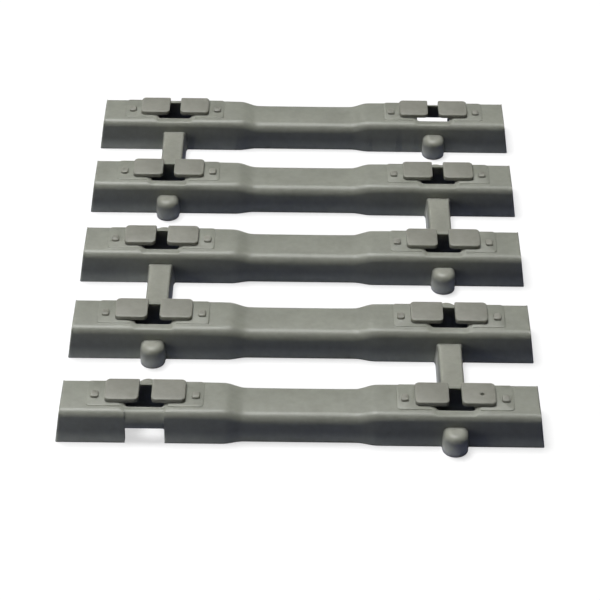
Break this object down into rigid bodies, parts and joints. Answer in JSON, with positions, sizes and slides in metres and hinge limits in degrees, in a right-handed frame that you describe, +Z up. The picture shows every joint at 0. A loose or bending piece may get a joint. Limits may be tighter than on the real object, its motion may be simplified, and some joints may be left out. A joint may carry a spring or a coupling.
{
  "type": "model railway sleeper strip",
  "caption": "Sleeper strip of a model railway track section: waisted concrete-style sleepers with rail clips, joined by flexible side webs, without rails.",
  "frame": {"origin": "on the surface that the strip lies on, under the middle sleeper's centre", "axes": "+Y along the track towards the back end, +X across the track to the right, +Z up"},
  "size_m": [0.0276, 0.0352, 0.0023],
  "materials": {
    "sleeper_plastic": "moulded, satin",
    "clip_plastic": "moulded, satin",
    "web_plastic": "moulded, satin"
  },
  "bodies": {
    "middle_sleeper": {"bolt_left_inner_3": "clip_plastic", "bolt_left_outer_3": "clip_plastic", "bolt_right_inner_3": "clip_plastic", "bolt_right_outer_3": "clip_plastic", "clip_left_inner_3": "clip_plastic", "clip_left_outer_3": "clip_plastic", "clip_right_inner_3": "clip_plastic", "clip_right_outer_3": "clip_plastic", "sleeper_3": "sleeper_plastic", "tongue_back_left_3": "web_plastic", "tongue_front_right_3": "web_plastic", "web_left_2_3": "web_plastic", "web_right_3_4": "web_plastic"},
    "front_sleeper": {"bolt_left_inner_2": "clip_plastic", "bolt_left_outer_2": "clip_plastic", "bolt_right_inner_2": "clip_plastic", "bolt_right_outer_2": "clip_plastic", "clip_left_inner_2": "clip_plastic", "clip_left_outer_2": "clip_plastic", "clip_right_inner_2": "clip_plastic", "clip_right_outer_2": "clip_plastic", "sleeper_2": "sleeper_plastic", "tongue_back_right_2": "web_plastic", "tongue_front_left_2": "web_plastic", "web_right_1_2": "web_plastic"},
    "front_end_sleeper": {"bolt_left_inner_1": "clip_plastic", "bolt_left_outer_1": "clip_plastic", "bolt_right_inner_1": "clip_plastic", "bolt_right_outer_1": "clip_plastic", "clip_left_inner_1": "clip_plastic", "clip_left_outer_1": "clip_plastic", "clip_right_inner_1": "clip_plastic", "clip_right_outer_1": "clip_plastic", "end_tongue_front_right": "web_plastic", "sleeper_1": "sleeper_plastic", "tongue_back_left_1": "web_plastic"},
    "back_sleeper": {"bolt_left_inner_4": "clip_plastic", "bolt_left_outer_4": "clip_plastic", "bolt_right_inner_4": "clip_plastic", "bolt_right_outer_4": "clip_plastic", "clip_left_inner_4": "clip_plastic", "clip_left_outer_4": "clip_plastic", "clip_right_inner_4": "clip_plastic", "clip_right_outer_4": "clip_plastic", "sleeper_4": "sleeper_plastic", "tongue_back_right_4": "web_plastic", "tongue_front_left_4": "web_plastic", "web_left_4_5": "web_plastic"},
    "back_end_sleeper": {"bolt_left_inner_5": "clip_plastic", "bolt_left_outer_5": "clip_plastic", "bolt_right_inner_5": "clip_plastic", "bolt_right_outer_5": "clip_plastic", "clip_left_inner_5": "clip_plastic", "clip_left_outer_5": "clip_plastic", "clip_right_inner_5": "clip_plastic", "clip_right_outer_5": "clip_plastic", "end_tongue_back_left": "web_plastic", "sleeper_5": "sleeper_plastic", "tongue_front_right_5": "web_plastic"}
  },
  "joints": [
    {"name": "bend_2_3", "type": "hinge", "parent": "middle_sleeper", "child": "front_sleeper", "pos_m": [-0.00875, -0.00375, 0.0006], "axis": [0, 0, 1], "range_deg": [-3, 3], "stiffness_Nm_per_rad": 0.0001, "deforming": ["web_left_2_3"]},
    {"name": "bend_1_2", "type": "hinge", "parent": "front_sleeper", "child": "front_end_sleeper", "pos_m": [0.00875, -0.01125, 0.0006], "axis": [0, 0, 1], "range_deg": [-3, 3], "stiffness_Nm_per_rad": 0.0001, "deforming": ["web_right_1_2"]},
    {"name": "bend_3_4", "type": "hinge", "parent": "middle_sleeper", "child": "back_sleeper", "pos_m": [0.00875, 0.00375, 0.0006], "axis": [0, 0, -1], "range_deg": [-3, 3], "stiffness_Nm_per_rad": 0.0001, "deforming": ["web_right_3_4"]},
    {"name": "bend_4_5", "type": "hinge", "parent": "back_sleeper", "child": "back_end_sleeper", "pos_m": [-0.00875, 0.01125, 0.0006], "axis": [0, 0, -1], "range_deg": [-3, 3], "stiffness_Nm_per_rad": 0.0001, "deforming": ["web_left_4_5"]}
  ]
}
